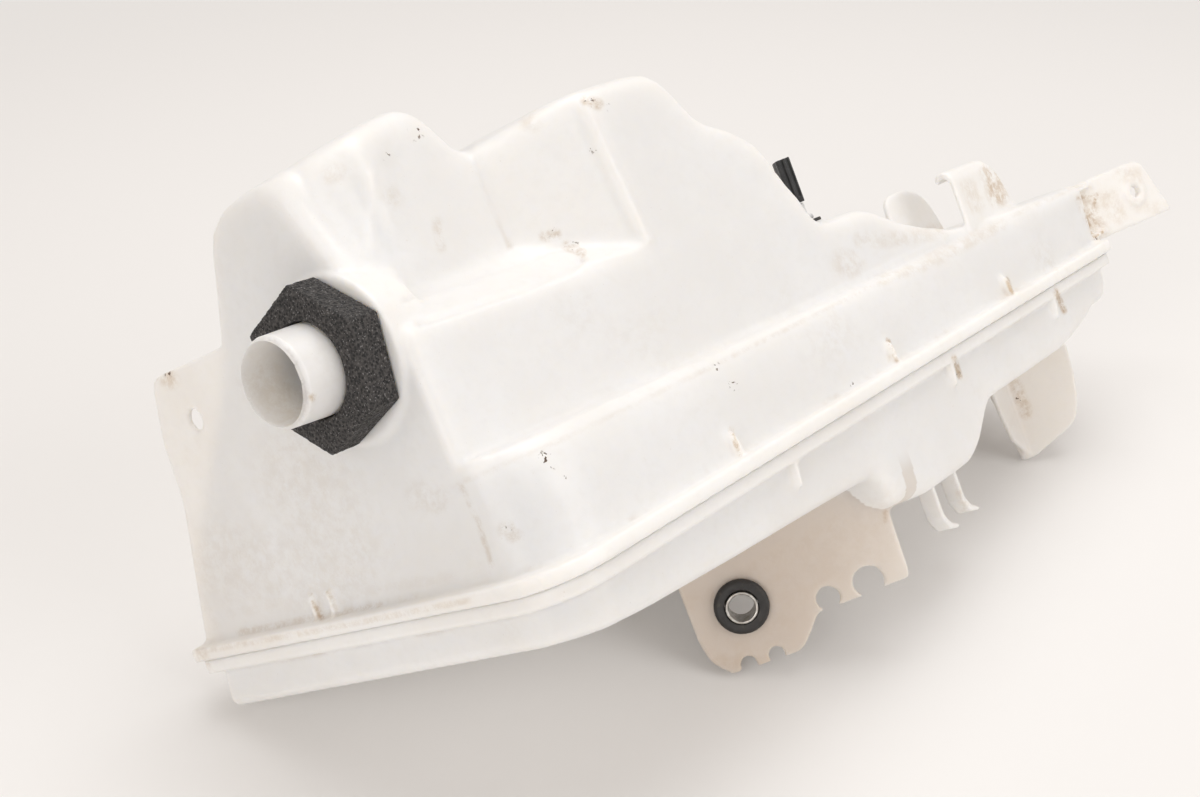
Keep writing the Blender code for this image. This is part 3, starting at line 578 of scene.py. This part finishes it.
def foam_material():
    """Open charcoal foam: painted shade darkens the small pores' middles, the walls between them stay paler,
    and a few pale flecks are painted glints.
    """
    paint = Paint("collar_foam", 0.9, (0.03, 0.03, 0.032))
    pores = paint.cells(1.1)
    # painted shade: the pores' middles darker than the walls between them
    base = paint.mix(paint.between(pores, 0.2, 0.75), (0.008, 0.008, 0.008), (0.07, 0.065, 0.063))
    base = paint.mix(paint.between(paint.noise(1.3, 3.0), 0.42, 0.62, 0.0, 0.6), base, (0.02, 0.019, 0.019))
    # painted glints: a few pale flecks
    base = paint.mix(paint.between(paint.noise(0.7, 2.0), 0.63, 0.68, 0.0, 0.6), base, (0.30, 0.29, 0.29))
    paint.colour(base)
    paint.bump(pores, 0.45, 0.9)
    return paint.mat


def rubber_material():
    paint = Paint("bushing_rubber", 0.55, (0.02, 0.02, 0.022))
    base = paint.mix(paint.between(paint.noise(5.0, 6.0, 0.65), 0.5, 0.75),
                     (0.018, 0.016, 0.015), (0.06, 0.052, 0.046))
    paint.colour(base)
    paint.rough(paint.between(paint.noise(2.5, 4.0), 0.3, 0.7, 0.42, 0.7))
    paint.bump(paint.noise(0.6, 3.0), 0.08, 0.5)
    return paint.mat


def steel_material():
    """Dull plated steel with brown bloom."""
    paint = Paint("sleeve_steel", 0.35, (0.66, 0.65, 0.62))
    paint.shader.inputs["Metallic"].default_value = 1.0
    base = paint.mix(paint.between(paint.noise(3.0, 5.0), 0.35, 0.65), (0.50, 0.48, 0.45), (0.36, 0.34, 0.31))
    base = paint.mix(paint.between(paint.noise(2.2, 6.0, 0.7), 0.56, 0.7, 0.0, 0.7), base, (0.26, 0.15, 0.08))
    paint.colour(base)
    paint.rough(paint.between(paint.noise(1.5, 4.0), 0.3, 0.7, 0.3, 0.5))
    paint.bump(paint.noise(0.5, 3.0), 0.04, 0.5)
    return paint.mat


def moulded_material(name, first, second, dust, roughness, grain=0.05):
    """A hard moulded plastic: two close colours in clouds, and dust on them."""
    paint = Paint(name, roughness, first)
    base = paint.mix(paint.between(paint.noise(6.0, 4.0), 0.35, 0.65), first, second)
    base = paint.mix(paint.between(paint.noise(1.6, 5.0, 0.65), 0.58, 0.72, 0.0, 0.5), base, dust)
    paint.colour(base)
    paint.rough(paint.between(paint.noise(3.0, 4.0), 0.3, 0.7, roughness - 0.08, roughness + 0.12))
    paint.bump(paint.noise(0.5, 3.0), grain, 0.6)
    return paint.mat


# The two shells
def upper_weight(p):
    """How much each point of the upper shell is softened: walls fully, thin details little."""
    x, y, z = p.T
    seam = WELD_LEVEL + WELD_RISE * x
    w = fade(z - seam, *UPPER_SEAM_FADE)
    w = np.minimum(w, fade(x, *NEAR_END_FADE))
    w = np.minimum(w, fade(TANK_LENGTH - x, *FAR_END_FADE))
    from_sensor = np.hypot(x - SENSOR[0], y - SENSOR[1])
    w = np.minimum(w, fade(from_sensor, *SENSOR_FADE))
    hose = (x > HOSE_X[0]) & (x < HOSE_X[1]) & (y > HOSE_Y[0]) & (y < HOSE_Y[1]) & (z > HOSE_BOTTOM)
    w = np.where(hose, 0.0, w)
    return LEAST_SOFT + (1.0 - LEAST_SOFT) * w


def lower_weight(p):
    """The same for the lower shell, whose ear, hooks and fin stay sharp."""
    x, y, z = p.T
    seam = WELD_LEVEL + WELD_RISE * x
    w = fade(seam - z, *LOWER_SEAM_FADE)
    hooks = (x > SUMP_HOOKS[0]) & (y < SUMP_HOOKS[1]) & (z < SUMP_HOOKS[2])
    sharp = (z < PLATE_TOP) & ((x < LOWER_EAR_END) | hooks | (x > FIN_START))
    w = np.where(sharp, 0.0, w)
    w = np.minimum(w, fade(x, *NEAR_END_FADE))
    w = np.minimum(w, fade(TANK_LENGTH - x, *FAR_END_FADE))
    return LEAST_SOFT + (1.0 - LEAST_SOFT) * w


def round_neck(tank):
    """Puts the filler neck's points on true circles, thins its mouth and rounds the rim."""
    x, y, z = tank.T
    r = np.hypot(y, z)
    on_neck = (x < SEAT_FRONT - 0.8) & (r < NECK_FOOT_R + 2.5)
    rim_r = NECK_OUTER_R - NECK_RIM
    rim_x = NECK_RIM - NECK_LENGTH
    to_tip = np.clip((-x - 2.0) / (NECK_LENGTH - 5.5), 0.0, 1.0)
    outer = NECK_FOOT_R + (NECK_OUTER_R - NECK_FOOT_R) * to_tip
    inner = NECK_BORE_R + (rim_r - NECK_RIM - NECK_BORE_R) * fade(-x, 16.0, -rim_x)
    wanted_r = np.where(r > 0.5 * (outer + inner), outer, inner)
    angle = np.arctan2(rim_x - x, r - rim_r)
    on_rim = x < rim_x
    wanted_r = np.where(on_rim, rim_r + NECK_RIM * np.cos(angle), wanted_r)
    wanted_x = np.where(on_rim, rim_x - NECK_RIM * np.sin(angle), x)
    scale = np.where(on_neck, wanted_r / np.maximum(r, 1e-6), 1.0)
    return np.stack([np.where(on_neck, wanted_x, x), y * scale, z * scale], axis=1)


def thin_wall_shade(node, p):
    """Painted shade, strong on the lower ear and weak on the other ears and the fin: warm and dark, as in
    shadow with light coming through thin walls.
    """
    x, y, z = p.T
    if node == "upper_shell":
        far_ear = fade(x, TANK_LENGTH + 2.0, TANK_LENGTH + 8.0) * FAR_EAR_SHADE
        end_ear = fade(y, 74.0, 90.0) * (x < 4.0) * END_EAR_SHADE
        return far_ear + end_ear
    along = math.radians(EAR_TURN)
    from_plate = np.abs((x - EAR_PLACE[0]) * math.sin(along) - (y - EAR_PLACE[1]) * math.cos(along))
    on_plate = (from_plate < EAR_HALF) & (z < SHADE_TOP) & (x < SHADE_END)
    ear = on_plate * fade(-z, 116.0, 128.0) * (LOWER_EAR_SHADE - 0.4 * fade(x, 150.0, 205.0))
    return ear + ((x > FIN_START) & (z < PLATE_TOP)) * FIN_SHADE


def build_shell(name, node, weigh, rounds, mat):
    mesh, tank = remeshed(name, node, SHELL_VOXEL)
    edges = edges_of(mesh)
    tank = relax(tank, edges, weigh(tank) * 0.5, rounds)
    if node == "upper_shell":
        tank = round_neck(tank)
    world = to_world(tank)
    set_points(mesh, world)
    normals = normals_of(mesh)
    facing = fade(-normals @ np.array(VIEW_DIRECTION), *FACING)
    uv = photo_place(world)
    lift = np.zeros(len(world))
    for line, width, height in RELIEF:
        lift += height * np.exp(-(from_line(uv, line) / width) ** 2)
    smooth = weigh(tank)
    world = world + normals * (lift * facing * fade(smooth, *RELIEF_ON) * MM)[:, None]
    dirt_and_shade = np.zeros(len(world))
    for line, width, strength in DIRT_AND_SHADE:
        dirt_and_shade = np.maximum(dirt_and_shade, strength * (1.0 - fade(from_line(uv, line), width * 0.4, width * 1.6)))
    speck = np.zeros(len(world))
    for u, v, radius in SPECKS:
        from_middle = np.hypot(uv[:, 0] - u, uv[:, 1] - v)
        speck = np.maximum(speck, 1.0 - fade(from_middle, radius * 0.6, radius * 1.2))
    set_points(mesh, world)
    inward = ((neighbour_middle(world, edges) - world) * normals).sum(axis=1) / MM
    hollow = relax(inward[:, None].repeat(3, axis=1), edges, 0.5, 4)[:, 0]
    # dirt, and painted shade at the far ear's pocket
    store(mesh, "dirt_and_shade", dirt_and_shade * facing)
    store(mesh, "speck", speck * facing)
    store(mesh, "crevice", fade(hollow, *CREVICE))
    # painted shade on the ears and the fin
    store(mesh, "thin", thin_wall_shade(node, tank))
    settle(name, mesh, node, "tank", mat)


def build_shells():
    mat = milky_material()
    build_shell("upper_half", "upper_shell", upper_weight, 30, mat)
    build_shell("lower_half", "lower_shell", lower_weight, 20, mat)


# The small parts
def build_foam():
    """The collar: its faces are torn cells of the foam, so the surface itself is pitted."""
    mesh, tank = remeshed("collar", "foam_collar", FOAM_VOXEL)
    tank = relax(tank, edges_of(mesh), 0.5, 5)
    set_points(mesh, tank)
    normals = normals_of(mesh)
    sink = np.empty(len(tank))
    for index, place in enumerate(tank):
        spot = Vector(place)
        nearest = noise.voronoi(spot * CELL_SCALE)[0][0]
        pore = PORE_DEPTH * max(0.0, 1.0 - nearest / PORE_REACH)
        sink[index] = pore + SWELL_DEPTH * noise.noise(spot * SWELL_SCALE)
    bore = np.hypot(tank[:, 1], tank[:, 2]) < NECK_FOOT_R + 1.5
    back = tank[:, 0] > SEAT_FRONT - 1.2
    sink = np.where(bore | back, 0.0, sink)
    set_points(mesh, to_world(tank - normals * sink[:, None]))
    piece = settle("collar", mesh, "foam_collar", "tank", foam_material())


def build_small(name, node, voxel, rounds, body, mat):
    mesh, tank = remeshed(name, node, voxel)
    tank = relax(tank, edges_of(mesh), 0.5, rounds)
    set_points(mesh, to_world(tank))
    settle(name, mesh, node, body, mat)


def build_small_parts():
    rubber = rubber_material()
    pale = moulded_material("stem_plastic", (0.62, 0.63, 0.64), (0.70, 0.70, 0.70), (0.42, 0.36, 0.30), 0.42)
    black = moulded_material("plug_plastic", (0.018, 0.018, 0.019), (0.03, 0.03, 0.031),
                             (0.10, 0.095, 0.09), 0.38)
    cork = moulded_material("float_foam", (0.75, 0.72, 0.62), (0.68, 0.64, 0.54),
                            (0.52, 0.46, 0.36), 0.7, 0.15)
    build_small("bushing", "rubber_bushing", RUBBER_VOXEL, 6, "tank", rubber)
    build_small("sleeve", "steel_sleeve", STEEL_VOXEL, 3, "tank", steel_material())
    build_small("seal", "sensor_seal", RUBBER_VOXEL, 4, "tank", rubber)
    build_small("stem", "sensor_stem", INNER_VOXEL, 4, "tank", pale)
    build_small("plug", "sensor_plug", PLUG_VOXEL, 2, "tank", black)
    build_small("stop", "float_stop", INNER_VOXEL, 3, "tank", pale)
    build_small("port_ring", "port_seal", RUBBER_VOXEL, 4, "tank", rubber)
    build_small("float_ring", "sensor_float", INNER_VOXEL, 5, "float", cork)


build_camera()
build_floor()
build_light()
build_shells()
build_foam()
build_small_parts()
